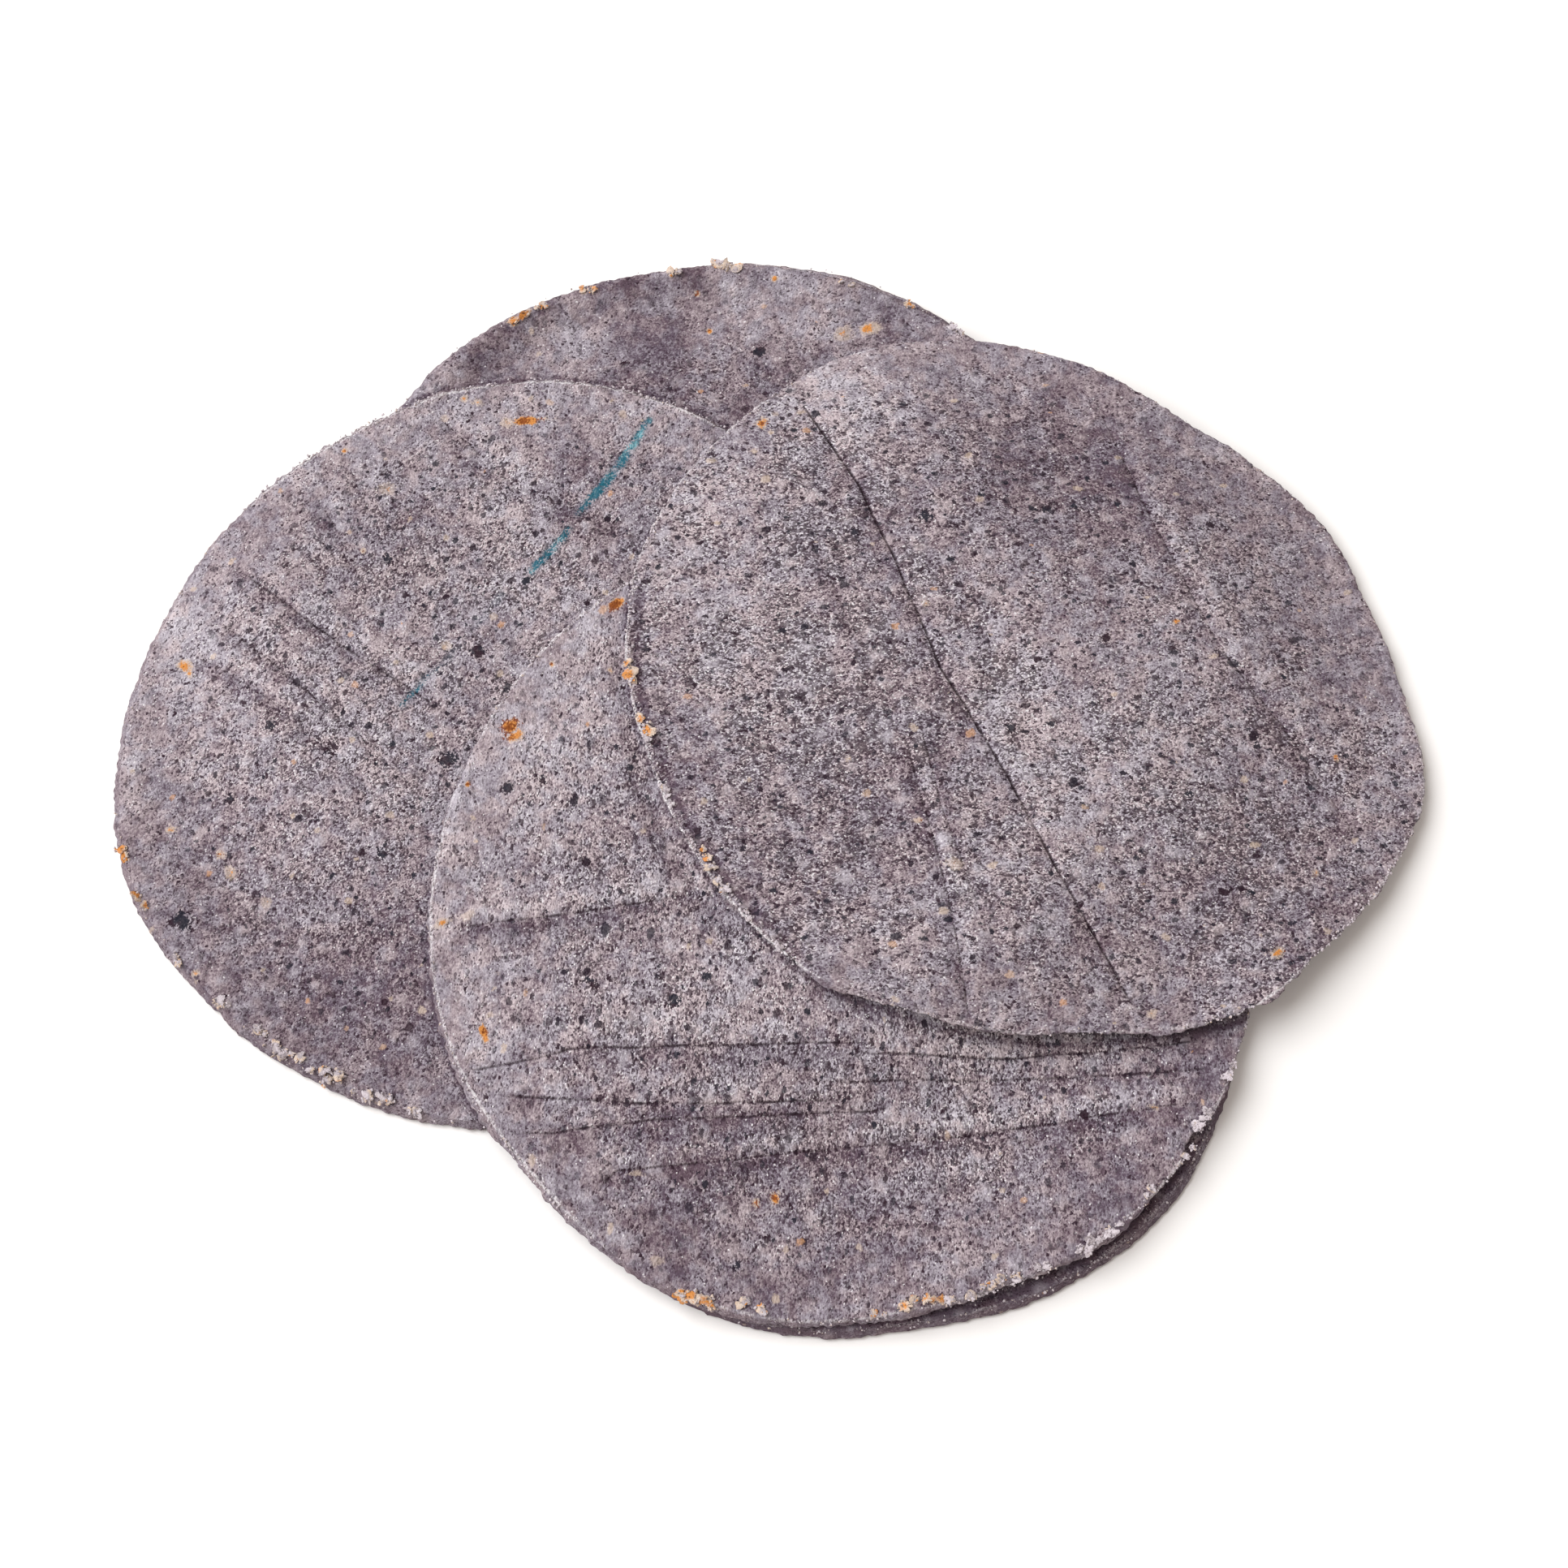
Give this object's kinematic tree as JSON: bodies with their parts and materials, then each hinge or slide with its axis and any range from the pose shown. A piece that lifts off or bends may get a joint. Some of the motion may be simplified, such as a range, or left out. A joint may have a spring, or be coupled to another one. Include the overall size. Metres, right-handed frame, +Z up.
{
  "type": "corn tortilla stack",
  "caption": "Loose fanned stack of thin round blue corn flatbreads, each sagging over the ones beneath, with rough cut rims and baked-on crumbs.",
  "frame": {"origin": "middle of the stack's plan outline, on the surface that it lies on", "axes": "+Z up; +X to the right and +Y to the back as the stack is seen from its front tortilla"},
  "size_m": [0.2415, 0.217, 0.0164],
  "materials": {
    "back_under": "matte",
    "back": "matte",
    "left": "matte",
    "front_under": "matte",
    "front": "matte",
    "top": "matte"
  },
  "bodies": {
    "root": {"tortilla_back_under": "back_under", "tortilla_back": "back", "tortilla_left": "left", "tortilla_front_under": "front_under", "tortilla_front": "front", "tortilla_top": "top"}
  },
  "joints": []
}
